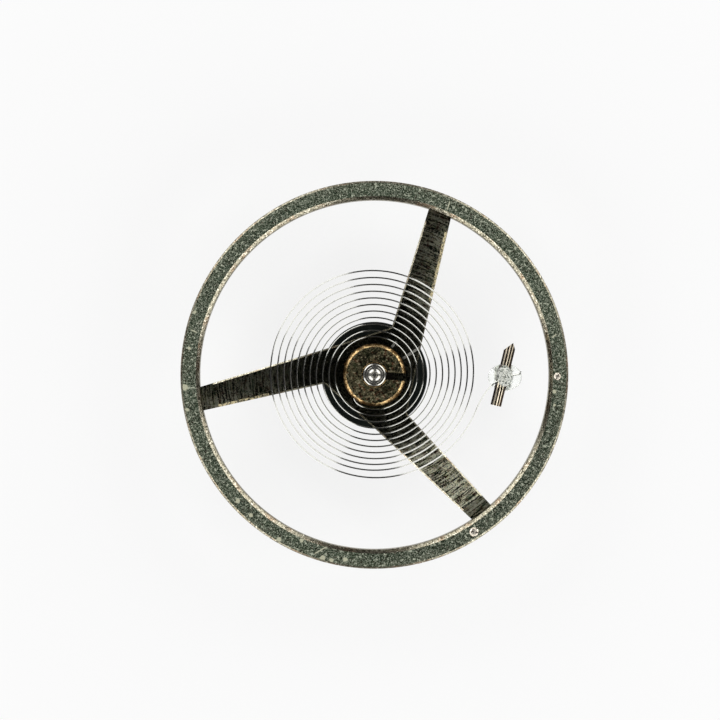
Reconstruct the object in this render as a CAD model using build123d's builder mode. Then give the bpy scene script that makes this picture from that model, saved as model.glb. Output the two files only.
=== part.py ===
from build123d import *
from math import acos, cos, degrees, hypot, radians, sin, sqrt
import os

# Complete balance of a wristwatch, in millimetres.
# The origin is the end of the lower pivot, on the axis of the staff, and +Z runs up the staff.
# Angles are degrees, counted from +X towards +Y, as seen from above the upper pivot.

os.makedirs("parts", exist_ok=True)

# Cuts run past the faces that they open by this much.
overrun = 0.1

# Round shapes stand on their place or hang from it.
standing = (Align.CENTER, Align.CENTER, Align.MIN)
hanging = (Align.CENTER, Align.CENTER, Align.MAX)

# Rim of the wheel
rim_outer_radius = 5.0
rim_width = 0.5
rim_height = 0.45
rim_outer_bevel = 0.07
rim_inner_bevel = 0.1
rim_under_bevel = 0.03
poise_mark_shares = [
    # place across the rim from its inner edge and radius as shares of the rim's width, and the angle
    (0.42, 0.19, -0.5),
    (0.58, 0.23, 302.4),
]
poise_mark_depth = 0.05

# Arms and hub of the wheel
arm_count = 3
arm_thickness = 0.16
arm_above_rim_underside = 0.12
arm_width_at_rim = 0.565
arm_edge_bevel = 0.05
arm_root_fillet = 0.06
square_edge_angle = 71.85
square_root_radius = 1.3
square_root_lag = 1.95
swept_root_radius = 1.42
swept_root_lag = 39.95
relief_width = 0.32
relief_depth = 0.03

# Staff, from its lower end upwards
pivot_radius = 0.05
pivot_length = 0.16
pivot_tip_round = 0.02
flare_length = 0.18
lower_flare_radius = 0.14
lower_taper_length = 0.25
roller_seat_radius = 0.21
flange_shoulder = 0.18
flange_thickness = 0.16
wheel_seat_radius = 0.42
rivet_lip_width = 0.06
rivet_lip_height = 0.04
collet_seat_radius = 0.295
collet_seat_bevel = 0.03
collet_seat_above_collet = 0.04
upper_arbor_radius = 0.21
upper_arbor_length = 0.55

# Double roller and the impulse jewel
table_radius = 1.375
table_thickness = 0.2
table_bevel = 0.02
table_tube_radius = 0.36
table_to_safety_roller = 0.26
safety_roller_radius = 0.6
safety_roller_thickness = 0.18
safety_roller_bevel = 0.02
passing_hollow_radius = 0.17
passing_hollow_beyond_roller = 0.04
jewel_angle = 171.6
jewel_inside_table = 0.355
jewel_radius = 0.11
jewel_flat_distance = 0.04
jewel_below_table = 0.34
jewel_tip_bevel = 0.015
jewel_hole_clearance = 0.01
shellac_radius = 0.18
shellac_top_radius = 0.1
shellac_height = 0.05

# Collet and the pin that locks the spring in it
collet_above_rivet = 0.2
collet_outer_radius = 0.805
collet_height = 0.44
collet_top_bevel = 0.065
collet_under_bevel = 0.03
collet_bore_bevel = 0.03
collet_slot_width = 0.195
collet_slot_angle = -4.5
collet_hole_clearance = 0.015
collet_pin_protrusion = 0.05
collet_pin_inset = 0.03

# Hairspring: a flat strip on edge, wound anticlockwise and outwards
strip_thickness = 0.035
strip_height = 0.14
strip_clearance = 0.002
strip_inside_collet = 0.125
strip_in_collet_angle = 230.0
strip_in_collet_length = 0.7
strip_to_coil_angle = 20.0
coil_inside_collet = 0.038
coil_pitch = 0.1628
coil_count = 11
coil_end_angle = 341.3
coil_drift = 0.09
coil_drift_angle = 112.0
coil_shift = 0.012
coil_shift_angle = 47.0
coil_opening = 0.105
coil_opening_turns = 0.6
turn_step = 1e-4
gap_points_per_turn = 180

# Stud and its bead of resin, lying beside the coils as in the photograph
stud_beyond_coils = 0.522
stud_place_angle = -1.75
stud_angle = 76.2
stud_radius = 0.14
stud_length_below = 0.71
stud_length_above = 0.956
stud_point_inset = 0.091
stud_left_slope = 50.4
stud_right_slope = 60.0
stud_flat_depth = 0.011
stud_flat_tilt = 30.0
stud_hole_clearance = 0.015
strip_at_stud_angle = 22.0
tail_bend_radius = 1.68
tail_bend = 13.8
tail_hook_radius = 0.1
tail_hook = 75.0
bead_shift_x = 0.065
bead_shift_y = 0.043
bead_end_centre = 0.137
bead_half_width = 0.345
bead_end_narrowing = 0.045

# Radii, places and turns that follow from the sizes above
rim_inner_radius = rim_outer_radius - rim_width
flange_radius = wheel_seat_radius + flange_shoulder
rivet_lip_radius = wheel_seat_radius + rivet_lip_width
jewel_distance = table_radius - jewel_inside_table
passing_hollow_distance = safety_roller_radius + passing_hollow_beyond_roller
strip_in_collet_distance = collet_outer_radius - strip_inside_collet
collet_hole_radius = strip_height / 2 + collet_hole_clearance
stud_hole_radius = strip_height / 2 + stud_hole_clearance
coil_base_radius = collet_outer_radius - coil_inside_collet
coil_start_turn = (strip_in_collet_angle + strip_to_coil_angle) / 360
coil_end_turn = coil_count + coil_end_angle / 360
bead_end_radius = bead_half_width - bead_end_narrowing
bead_half_length = bead_end_centre + bead_end_radius

# Heights that follow from the sizes above
lower_flare_top = pivot_length + flare_length
roller_seat_bottom = lower_flare_top + lower_taper_length
safety_roller_bottom = roller_seat_bottom
safety_roller_top = safety_roller_bottom + safety_roller_thickness
table_bottom = safety_roller_top + table_to_safety_roller
table_top = table_bottom + table_thickness
flange_bottom = table_top
arm_bottom = flange_bottom + flange_thickness
arm_top = arm_bottom + arm_thickness
rim_bottom = arm_bottom - arm_above_rim_underside
rim_top = rim_bottom + rim_height
rivet_top = arm_top + rivet_lip_height
collet_bottom = rivet_top + collet_above_rivet
collet_top = collet_bottom + collet_height
spring_height = collet_bottom + collet_height / 2
collet_seat_top = collet_top + collet_seat_above_collet
upper_arbor_top = collet_seat_top + upper_arbor_length
upper_flare_top = upper_arbor_top + flare_length
staff_top = upper_flare_top + pivot_length


def polar(radius, angle):
    """Point in plan at a distance from the staff and an angle."""
    return (radius * cos(radians(angle)), radius * sin(radians(angle)))


def heading(angle):
    """Unit direction in plan at an angle."""
    return Vector(cos(radians(angle)), sin(radians(angle)), 0)


def upright_plane(x, y, height):
    """Upright sketch plane, facing -Y, with its own origin at a point."""
    return Plane(origin=(x, y, height), x_dir=(1, 0, 0), z_dir=(0, -1, 0))


# Balance wheel: a turned rim, three tapering arms that lean forward, and a flat hub
def spider_corners():
    """Corners of the hub and arms: each arm has one nearly radial edge and one swept edge."""
    corners = []
    end_radius = rim_inner_radius + rim_width / 2
    end_lag = degrees(arm_width_at_rim / rim_inner_radius)
    for arm in range(arm_count):
        square_edge = square_edge_angle + arm * 360 / arm_count
        corners.append(polar(swept_root_radius, square_edge - swept_root_lag))
        corners.append(polar(end_radius, square_edge - end_lag))
        corners.append(polar(end_radius, square_edge))
        corners.append(polar(square_root_radius, square_edge - square_root_lag))
    return corners


with BuildPart() as balance_wheel:
    with BuildSketch(Plane.XY.offset(arm_bottom)) as spider_outline:
        with BuildLine():
            Polyline(*spider_corners(), close=True)
        make_face()
        corners = spider_outline.vertices()
        roots = [corner for corner in corners if hypot(corner.X, corner.Y) < rim_inner_radius]
        fillet(roots, radius=arm_root_fillet)
    extrude(amount=arm_thickness)
    chamfer(balance_wheel.faces().sort_by(Axis.Z)[-1].edges(), length=arm_edge_bevel)
    with BuildSketch(Plane.XY.offset(arm_top)):
        Circle(rim_inner_radius + overrun)
        Circle(rim_inner_radius - relief_width, mode=Mode.SUBTRACT)
    extrude(amount=-relief_depth, mode=Mode.SUBTRACT)
    with BuildSketch(Plane.XZ):
        with BuildLine():
            Polyline(
                (rim_inner_radius + rim_under_bevel, rim_bottom),
                (rim_outer_radius - rim_under_bevel, rim_bottom),
                (rim_outer_radius, rim_bottom + rim_under_bevel),
                (rim_outer_radius, rim_top - rim_outer_bevel),
                (rim_outer_radius - rim_outer_bevel, rim_top),
                (rim_inner_radius + rim_inner_bevel, rim_top),
                (rim_inner_radius, rim_top - rim_inner_bevel),
                (rim_inner_radius, rim_bottom + rim_under_bevel),
                close=True,
            )
        make_face()
    revolve(axis=Axis.Z)
    with Locations((0, 0, arm_bottom)):
        Cylinder(wheel_seat_radius, arm_thickness, align=standing, mode=Mode.SUBTRACT)
    for place_share, radius_share, mark_angle in poise_mark_shares:
        mark_distance = rim_inner_radius + rim_width * place_share
        with Locations((*polar(mark_distance, mark_angle), rim_top)):
            Cone(0, rim_width * radius_share, poise_mark_depth, align=hanging, mode=Mode.SUBTRACT)

balance_wheel.part.label = "balance_wheel"
export_step(balance_wheel.part, "parts/balance_wheel.step")


# Balance staff: one turned arbor with trumpet-shaped pivots at both ends
with BuildPart() as balance_staff:
    with BuildSketch(Plane.XZ):
        with BuildLine():
            Polyline((0, 0), (pivot_radius, 0), (pivot_radius, pivot_length))
            TangentArc((pivot_radius, pivot_length), (lower_flare_radius, lower_flare_top), tangent=(0, 1))
            Polyline(
                (lower_flare_radius, lower_flare_top),
                (roller_seat_radius, roller_seat_bottom),
                (roller_seat_radius, flange_bottom),
                (flange_radius, flange_bottom),
                (flange_radius, arm_bottom),
                (wheel_seat_radius, arm_bottom),
                (wheel_seat_radius, arm_top),
                (rivet_lip_radius, arm_top),
                (rivet_lip_radius, rivet_top),
                (collet_seat_radius, rivet_top),
                (collet_seat_radius, collet_seat_top - collet_seat_bevel),
                (collet_seat_radius - collet_seat_bevel, collet_seat_top),
                (upper_arbor_radius, collet_seat_top),
                (upper_arbor_radius, upper_arbor_top),
            )
            flare_foot = (upper_arbor_radius, upper_arbor_top)
            TangentArc((pivot_radius, upper_flare_top), flare_foot, tangent=(0, -1))
            Polyline((pivot_radius, upper_flare_top), (pivot_radius, staff_top), (0, staff_top), (0, 0))
        make_face()
    revolve(axis=Axis.Z)
    pivot_ends = balance_staff.edges().group_by(Axis.Z)
    fillet(pivot_ends[0] + pivot_ends[-1], radius=pivot_tip_round)

balance_staff.part.label = "balance_staff"
export_step(balance_staff.part, "parts/balance_staff.step")


# Impulse roller: a round table on a tube, with a D-shaped hole for the jewel
jewel_centre = polar(jewel_distance, jewel_angle)


def jewel_section(clearance):
    """Draws the D-shaped section of the jewel in the open sketch, flat side outwards."""
    with Locations(Location((*jewel_centre, 0), (0, 0, jewel_angle))):
        Circle(jewel_radius + clearance)
        with Locations((jewel_flat_distance + clearance, 0)):
            Rectangle(
                jewel_radius + overrun,
                2 * (jewel_radius + overrun),
                align=(Align.MIN, Align.CENTER),
                mode=Mode.SUBTRACT,
            )


with BuildPart() as impulse_roller:
    with BuildSketch(Plane.XZ):
        with BuildLine():
            Polyline(
                (roller_seat_radius, safety_roller_bottom),
                (table_tube_radius, safety_roller_bottom),
                (table_tube_radius, table_bottom),
                (table_radius - table_bevel, table_bottom),
                (table_radius, table_bottom + table_bevel),
                (table_radius, table_top - table_bevel),
                (table_radius - table_bevel, table_top),
                (roller_seat_radius, table_top),
                close=True,
            )
        make_face()
    revolve(axis=Axis.Z)
    with BuildSketch(Plane.XY.offset(table_bottom - overrun)):
        jewel_section(jewel_hole_clearance)
    extrude(amount=table_thickness + 2 * overrun, mode=Mode.SUBTRACT)

impulse_roller.part.label = "impulse_roller"
export_step(impulse_roller.part, "parts/impulse_roller.step")


# Safety roller: a small disc on the table's tube, hollowed below the jewel to let the guard pin pass
with BuildPart() as safety_roller:
    with BuildSketch(Plane.XY.offset(safety_roller_bottom)):
        Circle(safety_roller_radius)
        Circle(table_tube_radius, mode=Mode.SUBTRACT)
        with Locations(polar(passing_hollow_distance, jewel_angle)):
            Circle(passing_hollow_radius, mode=Mode.SUBTRACT)
    extrude(amount=safety_roller_thickness)
    rims = [edge for edge in safety_roller.edges() if edge.geom_type == GeomType.CIRCLE]
    outer_rims = [edge for edge in rims if edge.radius > table_tube_radius]
    chamfer(outer_rims, length=safety_roller_bevel)

safety_roller.part.label = "safety_roller"
export_step(safety_roller.part, "parts/safety_roller.step")


# Impulse jewel: a D-shaped ruby rod that hangs from the table
with BuildPart() as impulse_jewel:
    with BuildSketch(Plane.XY.offset(table_bottom - jewel_below_table)):
        jewel_section(0)
    extrude(amount=jewel_below_table + table_thickness)
    chamfer(impulse_jewel.faces().sort_by(Axis.Z)[0].edges(), length=jewel_tip_bevel)

impulse_jewel.part.label = "impulse_jewel"
export_step(impulse_jewel.part, "parts/impulse_jewel.step")


# Shellac: the flattened drop that cements the jewel, lying on the table under the hub
with BuildPart() as jewel_shellac:
    with Locations((*jewel_centre, table_top)):
        Cone(shellac_radius, shellac_top_radius, shellac_height, align=standing)

jewel_shellac.part.label = "jewel_shellac"
export_step(jewel_shellac.part, "parts/jewel_shellac.step")


# Where the strip enters the collet: a straight run at a fixed distance from the staff
strip_foot_angle = strip_in_collet_angle - degrees(acos(strip_in_collet_distance / collet_outer_radius))
strip_in_collet_heading = strip_foot_angle + 90
strip_foot = Vector(*polar(strip_in_collet_distance, strip_foot_angle), spring_height)
strip_exit = Vector(*polar(collet_outer_radius, strip_in_collet_angle), spring_height)
strip_lean = sqrt(collet_hole_radius**2 - (strip_height / 2) ** 2) - strip_thickness / 2 - strip_clearance
hole_distance = strip_in_collet_distance - strip_lean
hole_half_length = sqrt(collet_outer_radius**2 - hole_distance**2)
hole_foot = Vector(*polar(hole_distance, strip_foot_angle), spring_height)
hole_plane = Plane(origin=hole_foot, x_dir=heading(strip_foot_angle), z_dir=heading(strip_in_collet_heading))


# Collet: a split brass ring with a cross hole for the spring's inner end
with BuildPart() as collet:
    with BuildSketch(Plane.XZ):
        with BuildLine():
            Polyline(
                (collet_seat_radius, collet_bottom),
                (collet_outer_radius - collet_under_bevel, collet_bottom),
                (collet_outer_radius, collet_bottom + collet_under_bevel),
                (collet_outer_radius, collet_top - collet_top_bevel),
                (collet_outer_radius - collet_top_bevel, collet_top),
                (collet_seat_radius + collet_bore_bevel, collet_top),
                (collet_seat_radius, collet_top - collet_bore_bevel),
                close=True,
            )
        make_face()
    revolve(axis=Axis.Z)
    with BuildSketch(Plane.XY.offset(collet_bottom)):
        with Locations(Location((0, 0, 0), (0, 0, collet_slot_angle))):
            Rectangle(collet_outer_radius + overrun, collet_slot_width, align=(Align.MIN, Align.CENTER))
    extrude(amount=collet_height, mode=Mode.SUBTRACT)
    with BuildSketch(hole_plane):
        Circle(collet_hole_radius)
    extrude(amount=hole_half_length + overrun, both=True, mode=Mode.SUBTRACT)

collet.part.label = "collet"
export_step(collet.part, "parts/collet.step")


# Collet pin: a round pin with a flat side that wedges the strip in the cross hole
with BuildPart() as collet_pin:
    with BuildSketch(hole_plane.offset(-hole_half_length - collet_pin_protrusion)):
        Circle(collet_hole_radius)
        with Locations((strip_lean - strip_thickness / 2, 0)):
            Rectangle(
                collet_hole_radius + overrun,
                2 * (collet_hole_radius + overrun),
                align=(Align.MIN, Align.CENTER),
                mode=Mode.SUBTRACT,
            )
    extrude(amount=2 * hole_half_length + collet_pin_protrusion - collet_pin_inset)

collet_pin.part.label = "collet_pin"
export_step(collet_pin.part, "parts/collet_pin.step")


# Hairspring: every half turn of the spiral is a pair of tangent arcs
def coil_radius(turn):
    """Distance from the staff at a turn: even pitch, a shift and a drift off centre, and a wide last turn."""
    drift = coil_drift * (turn / coil_end_turn) ** 3 * cos(radians(360 * turn - coil_drift_angle))
    last_turns = max(0, turn - coil_end_turn + coil_opening_turns) / coil_opening_turns
    shift = coil_shift * cos(radians(360 * turn - coil_shift_angle))
    return coil_base_radius + coil_pitch * turn + shift + drift + coil_opening * last_turns**2


def coil_point(turn):
    """Point on the middle of the strip at a turn, whose whole part counts the coils."""
    return Vector(*polar(coil_radius(turn), 360 * turn), spring_height)


def coil_heading(turn):
    """Unit direction of the strip at a turn."""
    return (coil_point(turn + turn_step) - coil_point(turn - turn_step)).normalized()


def tangent_arcs(start, start_way, end, end_way):
    """Draws two arcs that join two points, tangent to the given directions and to each other."""
    across = end - start
    ways = start_way + end_way
    slack = 2 * (1 - start_way.dot(end_way))
    reach = (sqrt(across.dot(ways) ** 2 + slack * across.dot(across)) - across.dot(ways)) / slack
    joint = (start + start_way * reach + end - end_way * reach) * 0.5
    first = TangentArc(start, joint, tangent=start_way)
    TangentArc(joint, end, tangent=first % 1)


stud_distance = coil_radius(coil_end_turn) + stud_beyond_coils
stud_point = Vector(*polar(stud_distance, stud_place_angle), spring_height)
half_turns = round(2 * (coil_end_turn - coil_start_turn))
coil_turns = [
    coil_start_turn + (coil_end_turn - coil_start_turn) * step / half_turns for step in range(half_turns + 1)
]

with BuildPart() as hairspring:
    with BuildLine() as strip_route:
        inner_way = heading(strip_in_collet_heading)
        inner_end = strip_exit - inner_way * strip_in_collet_length
        Line(inner_end, strip_exit)
        tangent_arcs(strip_exit, inner_way, coil_point(coil_start_turn), coil_heading(coil_start_turn))
        for turn, next_turn in zip(coil_turns, coil_turns[1:]):
            tangent_arcs(coil_point(turn), coil_heading(turn), coil_point(next_turn), coil_heading(next_turn))
        stud_way_in = heading(strip_at_stud_angle)
        tangent_arcs(coil_point(coil_end_turn), coil_heading(coil_end_turn), stud_point, stud_way_in)
        tail = JernArc(stud_point, stud_way_in, tail_bend_radius, -tail_bend)
        JernArc(tail @ 1, tail % 1, tail_hook_radius, tail_hook)
    with BuildSketch(Plane(origin=inner_end, x_dir=heading(strip_foot_angle), z_dir=inner_way)):
        Rectangle(strip_thickness, strip_height)
    sweep()

hairspring.part.label = "hairspring"
export_step(hairspring.part, "parts/hairspring.step")


def least_coil_gap():
    """Least gap between neighbouring coils, on points along the spiral, one turn apart."""
    steps = range(int((coil_end_turn - 1 - coil_start_turn) * gap_points_per_turn))
    turns = [coil_start_turn + step / gap_points_per_turn for step in steps]
    return min(coil_radius(turn + 1) - coil_radius(turn) for turn in turns) - strip_thickness


strip_length = sum(edge.length for edge in strip_route.edges())
strip_share = hairspring.part.volume / (strip_length * strip_thickness * strip_height)
print("least gap between the coils, mm:", round(least_coil_gap(), 4))
print("strip length, mm:", round(strip_length, 3))
print("strip volume over section times length:", round(strip_share, 6))


# Stud: a pin with a two-sided point and a narrow flat, cross-drilled for the spring's outer end
stud_way = heading(stud_angle)
stud_side = heading(stud_angle + 90)
stud_end = stud_point - stud_way * stud_length_below
stud_tip = stud_point + stud_way * stud_length_above - stud_side * (stud_radius - stud_point_inset)
stud_flat_way = stud_side * cos(radians(stud_flat_tilt)) + Vector(0, 0, 1) * sin(radians(stud_flat_tilt))

with BuildPart() as stud:
    with BuildSketch(Plane(origin=stud_end, z_dir=stud_way)):
        Circle(stud_radius)
    extrude(amount=stud_length_below + stud_length_above + overrun)
    for slope in (stud_left_slope, -stud_right_slope):
        split(bisect_by=Plane(origin=stud_tip, z_dir=heading(stud_angle + slope)), keep=Keep.BOTTOM)
    flat_point = stud_point + stud_flat_way * (stud_radius - stud_flat_depth)
    split(bisect_by=Plane(origin=flat_point, z_dir=stud_flat_way), keep=Keep.BOTTOM)
    with BuildSketch(Plane(origin=stud_point, z_dir=heading(strip_at_stud_angle))):
        Circle(stud_hole_radius)
    extrude(amount=stud_radius * 2, both=True, mode=Mode.SUBTRACT)

stud.part.label = "stud"
export_step(stud.part, "parts/stud.step")


# Resin bead: an oval drop that fills the stud's hole and holds the strip
bead_centre = stud_point + Vector(bead_shift_x, bead_shift_y, 0)
bead_side_radius = (bead_end_centre**2 + bead_half_width**2 - bead_end_radius**2) / (
    2 * (bead_half_width - bead_end_radius)
)
bead_joint_x = bead_end_centre * bead_side_radius / (bead_side_radius - bead_end_radius)
bead_joint_y = sqrt(bead_end_radius**2 - (bead_joint_x - bead_end_centre) ** 2)

with BuildPart() as stud_bead:
    with BuildSketch(upright_plane(*bead_centre)):
        with BuildLine():
            Line((-bead_half_length, 0), (bead_half_length, 0))
            end_arc = TangentArc((bead_half_length, 0), (bead_joint_x, bead_joint_y), tangent=(0, 1))
            side_arc = TangentArc(end_arc @ 1, (-bead_joint_x, bead_joint_y), tangent=end_arc % 1)
            TangentArc(side_arc @ 1, (-bead_half_length, 0), tangent=side_arc % 1)
        make_face()
    revolve(axis=Axis(bead_centre, (1, 0, 0)))
    add(stud.part, mode=Mode.SUBTRACT)
    add(hairspring.part, mode=Mode.SUBTRACT)

stud_bead.part.label = "stud_bead"
export_step(stud_bead.part, "parts/stud_bead.step")
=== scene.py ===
from math import acos, atan2, cos, degrees, pi, radians, sin, sqrt, tan

import bmesh
import bpy
from mathutils import Matrix, Vector


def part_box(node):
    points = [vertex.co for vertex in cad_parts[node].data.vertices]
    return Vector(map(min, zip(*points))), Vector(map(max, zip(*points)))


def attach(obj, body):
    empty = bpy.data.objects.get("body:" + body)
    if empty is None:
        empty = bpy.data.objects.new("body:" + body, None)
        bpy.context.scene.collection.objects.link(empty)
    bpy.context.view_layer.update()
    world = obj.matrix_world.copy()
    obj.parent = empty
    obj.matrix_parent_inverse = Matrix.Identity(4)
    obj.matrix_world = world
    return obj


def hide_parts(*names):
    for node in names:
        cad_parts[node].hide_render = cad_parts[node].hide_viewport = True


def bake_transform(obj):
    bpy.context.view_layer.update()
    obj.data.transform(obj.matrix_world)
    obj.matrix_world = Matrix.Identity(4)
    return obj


# Complete balance of a wristwatch, dressed over its fixed frame, and the studio round it.
# Lengths are metres in the frame's axes: +Z runs up the staff from the end of the lower pivot.
# Angles are degrees from +X towards +Y, as seen from above.

bl_info = {
    "name": "Watch Balance",
    "version": (1, 0, 0),
    "blender": (4, 5, 0),
    "location": "3D View > Sidebar > Balance",
    "description": "Models and finishes the balance of a wristwatch and lights it on a pale table",
    "category": "Object",
}

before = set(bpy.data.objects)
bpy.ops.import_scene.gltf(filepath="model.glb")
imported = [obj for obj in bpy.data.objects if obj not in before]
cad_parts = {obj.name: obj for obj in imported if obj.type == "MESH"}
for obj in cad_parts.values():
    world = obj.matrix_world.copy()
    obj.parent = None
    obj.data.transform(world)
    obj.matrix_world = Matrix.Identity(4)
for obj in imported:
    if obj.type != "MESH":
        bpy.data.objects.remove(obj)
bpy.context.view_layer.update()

mm = 0.001
up = Vector((0, 0, 1))

# Where the pieces stand, from the frame
wheel_low, wheel_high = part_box("balance_wheel")
staff_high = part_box("balance_staff")[1]
roller_low, roller_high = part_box("impulse_roller")
safety_low, safety_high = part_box("safety_roller")
jewel_low, jewel_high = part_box("impulse_jewel")
shellac_low, shellac_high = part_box("jewel_shellac")
collet_low, collet_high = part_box("collet")
spring_low, spring_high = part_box("hairspring")
bead_low, bead_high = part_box("stud_bead")
spring_height = (spring_low.z + spring_high.z) / 2


def half_width(low, high):
    """Smaller half width of a box in plan, which a turned piece of that box has as its radius."""
    return min(high.x - low.x, high.y - low.y) / 2


def linear(hex_colour):
    """sRGB hex colour as the linear values that a shader takes."""
    channels = [int(hex_colour[place : place + 2], 16) / 255 for place in (1, 3, 5)]
    return tuple(
        value / 12.92 if value <= 0.04045 else ((value + 0.055) / 1.055) ** 2.4 for value in channels
    )


def length_property(name, description, default):
    """Property that holds a length."""
    return bpy.props.FloatProperty(
        name=name, description=description, default=default, min=0, precision=6, unit="LENGTH"
    )


def colour_property(name, description, default):
    """Property that holds a colour, given as sRGB hex."""
    return bpy.props.FloatVectorProperty(
        name=name, description=description, default=linear(default), min=0, max=1, subtype="COLOR"
    )


class WheelLooks(bpy.types.PropertyGroup):
    """Sizes and colours of the balance wheel."""

    rim_radius: length_property("Rim radius", "Outside radius of the rim", half_width(wheel_low, wheel_high))
    rim_width: length_property("Rim width", "Width of the rim seen from above", 0.5 * mm)
    outer_bevel: length_property("Outer bevel", "Bevel on the rim's outer upper edge", 0.052 * mm)
    inner_bevel: length_property("Inner bevel", "Bevel on the rim's inner upper edge", 0.106 * mm)
    under_bevel: length_property("Lower bevels", "Bevels on the rim's underside", 0.03 * mm)
    arm_thickness: length_property("Arm thickness", "Thickness of the arms and the hub", 0.16 * mm)
    arm_width: length_property("Arm width", "Width of an arm where it meets the rim", 0.565 * mm)
    arm_bevel: length_property("Arm bevel", "Bevel along the upper edges of the arms", 0.036 * mm)
    rim_colour: colour_property("Rim colour", "Grained face of the rim", "#7c8c73")
    arm_colour: colour_property("Arm colour", "Circular grained face of the arms", "#f0eebf")
    bevel_colour: colour_property("Bevel colour", "Cut and polished bevels", "#938e7c")
    # Colour of the painted highlight along two of the arms' bevelled edges
    edge_highlight_colour: colour_property("Paste colour", "Dried polishing paste on the arms' edges", "#ddcfa4")
    mark_colour: colour_property("Mark colour", "Bare alloy in the poise marks", "#fff8ea")
    stain_colour: colour_property("Stain colour", "Dried drops on the rim", "#c3c3a8")


class StaffLooks(bpy.types.PropertyGroup):
    """Sizes and colours of the balance staff."""

    pivot_radius: length_property("Pivot radius", "Radius of both pivots", 0.05 * mm)
    pivot_length: length_property("Pivot length", "Length of each pivot", 0.16 * mm)
    steel_colour: colour_property("Steel colour", "Hardened and polished steel", "#b4b1a8")
    # Painted shade on the lip, which lies deep in the collet's slot
    rivet_shade_colour: colour_property("Rivet colour", "Lip spread by the riveting punch", "#3a3833")


class RollerLooks(bpy.types.PropertyGroup):
    """Sizes and colours of the double roller and its jewel."""

    table_thickness: length_property("Table thickness", "Thickness of the roller's table", 0.2 * mm)
    tube_radius: length_property("Tube radius", "Outside radius of the table's tube", 0.36 * mm)
    roller_colour: colour_property("Roller colour", "Flat polished face of the roller", "#434b48")
    ruby_colour: colour_property("Ruby colour", "Synthetic ruby of the impulse jewel", "#b3142c")
    shellac_colour: colour_property("Shellac colour", "Shellac round the jewel", "#8a4a12")


class ColletLooks(bpy.types.PropertyGroup):
    """Sizes and colours of the collet."""

    top_bevel: length_property("Top bevel", "Bevel round the collet's upper edge", 0.085 * mm)
    slot_width: length_property("Slot width", "Width of the slot that splits the collet", 0.195 * mm)
    face_colour: colour_property("Face colour", "Turned brass of the face", "#8e8667")
    bevel_colour: colour_property("Bevel colour", "Polished brass of the bevel", "#dcbd88")


class SpringLooks(bpy.types.PropertyGroup):
    """Sizes and colours of the hairspring."""

    thickness: length_property("Strip thickness", "Thickness of the spring's strip", 0.035 * mm)
    edge_crown: length_property("Edge crown", "Height of the crown on the strip's rolled edges", 0.0105 * mm)
    strip_colour: colour_property("Strip colour", "Rolled and fired spring alloy", "#959590")


class StudLooks(bpy.types.PropertyGroup):
    """Sizes and colours of the stud and its bead of resin."""

    radius: length_property("Stud radius", "Radius of the stud", 0.14 * mm)
    flat_depth: length_property("Flat depth", "Depth of the flat along the stud", 0.011 * mm)
    gilt_colour: colour_property("Stud colour", "Gilt brass of the stud", "#fff0d6")
    resin_colour: colour_property("Resin colour", "Clear resin of the bead", "#fbfdfa")


class StageLooks(bpy.types.PropertyGroup):
    """Table, lamps and camera."""

    table_colour: colour_property("Table colour", "Plain pale table", "#fdfdfd")
    lamp_radiance: bpy.props.FloatProperty(
        name="Lamp radiance",
        description="Brightness of the four soft boxes, white paper being 1",
        default=3.3,
        min=0,
    )
    lamp_height: length_property("Lamp height", "Height of each soft box", 34 * mm)
    view_width: length_property("View width", "Width of the table that the camera takes in", 18.538 * mm)


# Outlines and tools that several pieces share
def polar(radius, angle):
    """Point in plan at a distance from the staff and an angle."""
    return Vector((radius * cos(radians(angle)), radius * sin(radians(angle)), 0))


def heading(angle):
    """Unit direction in plan at an angle."""
    return polar(1, angle)


def arc_points(start, way, end, count):
    """Points of the arc in plan that leaves start along way and reaches end, without the start itself."""
    across = end - start
    bend = 2 * atan2(way.cross(across).z, way.dot(across))
    shares = [(step + 1) / count for step in range(count)]
    if abs(bend) < 1e-6:
        return [start + across * share for share in shares]
    radius = across.length / (2 * sin(bend / 2))
    centre = start + up.cross(way) * radius
    return [centre + Matrix.Rotation(bend * share, 3, up) @ (start - centre) for share in shares]


def turned(profile, steps, closed=False):
    """Bmesh of a turned piece: its profile of radius and height, spun right round the staff's axis."""
    bm = bmesh.new()
    corners = [bm.verts.new((radius, 0, height)) for radius, height in profile]
    for corner, next_corner in zip(corners, corners[1:]):
        bm.edges.new((corner, next_corner))
    if closed:
        bm.edges.new((corners[-1], corners[0]))
    outline = bm.verts[:] + bm.edges[:]
    bmesh.ops.spin(bm, geom=outline, cent=(0, 0, 0), axis=up, angle=2 * pi, steps=steps, use_merge=True)
    bmesh.ops.remove_doubles(bm, verts=bm.verts, dist=1e-8)
    bmesh.ops.recalc_face_normals(bm, faces=bm.faces)
    return bm


def ring(inner, outer, low, high, steps):
    """Bmesh of a plain ring between two radii and two heights."""
    return turned([(inner, low), (outer, low), (outer, high), (inner, high)], steps, closed=True)


def rod(radius, base, way, rod_length, segments=48):
    """Bmesh of a round rod with flat ends, from its base along a direction."""
    bm = bmesh.new()
    bmesh.ops.create_cone(
        bm, cap_ends=True, cap_tris=False, segments=segments, radius1=radius, radius2=radius, depth=rod_length
    )
    turn = up.rotation_difference(way).to_matrix().to_4x4()
    bmesh.ops.transform(bm, matrix=Matrix.Translation(base + way * rod_length / 2) @ turn, verts=bm.verts)
    return bm


def slice_off(bm, point, way):
    """Cuts away what lies beyond a plane and closes the cut."""
    whole = bm.verts[:] + bm.edges[:] + bm.faces[:]
    cut = bmesh.ops.bisect_plane(bm, geom=whole, plane_co=point, plane_no=way, clear_outer=True)
    edges = [item for item in cut["geom_cut"] if isinstance(item, bmesh.types.BMEdge)]
    bmesh.ops.holes_fill(bm, edges=edges)
    bmesh.ops.recalc_face_normals(bm, faces=bm.faces)


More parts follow.
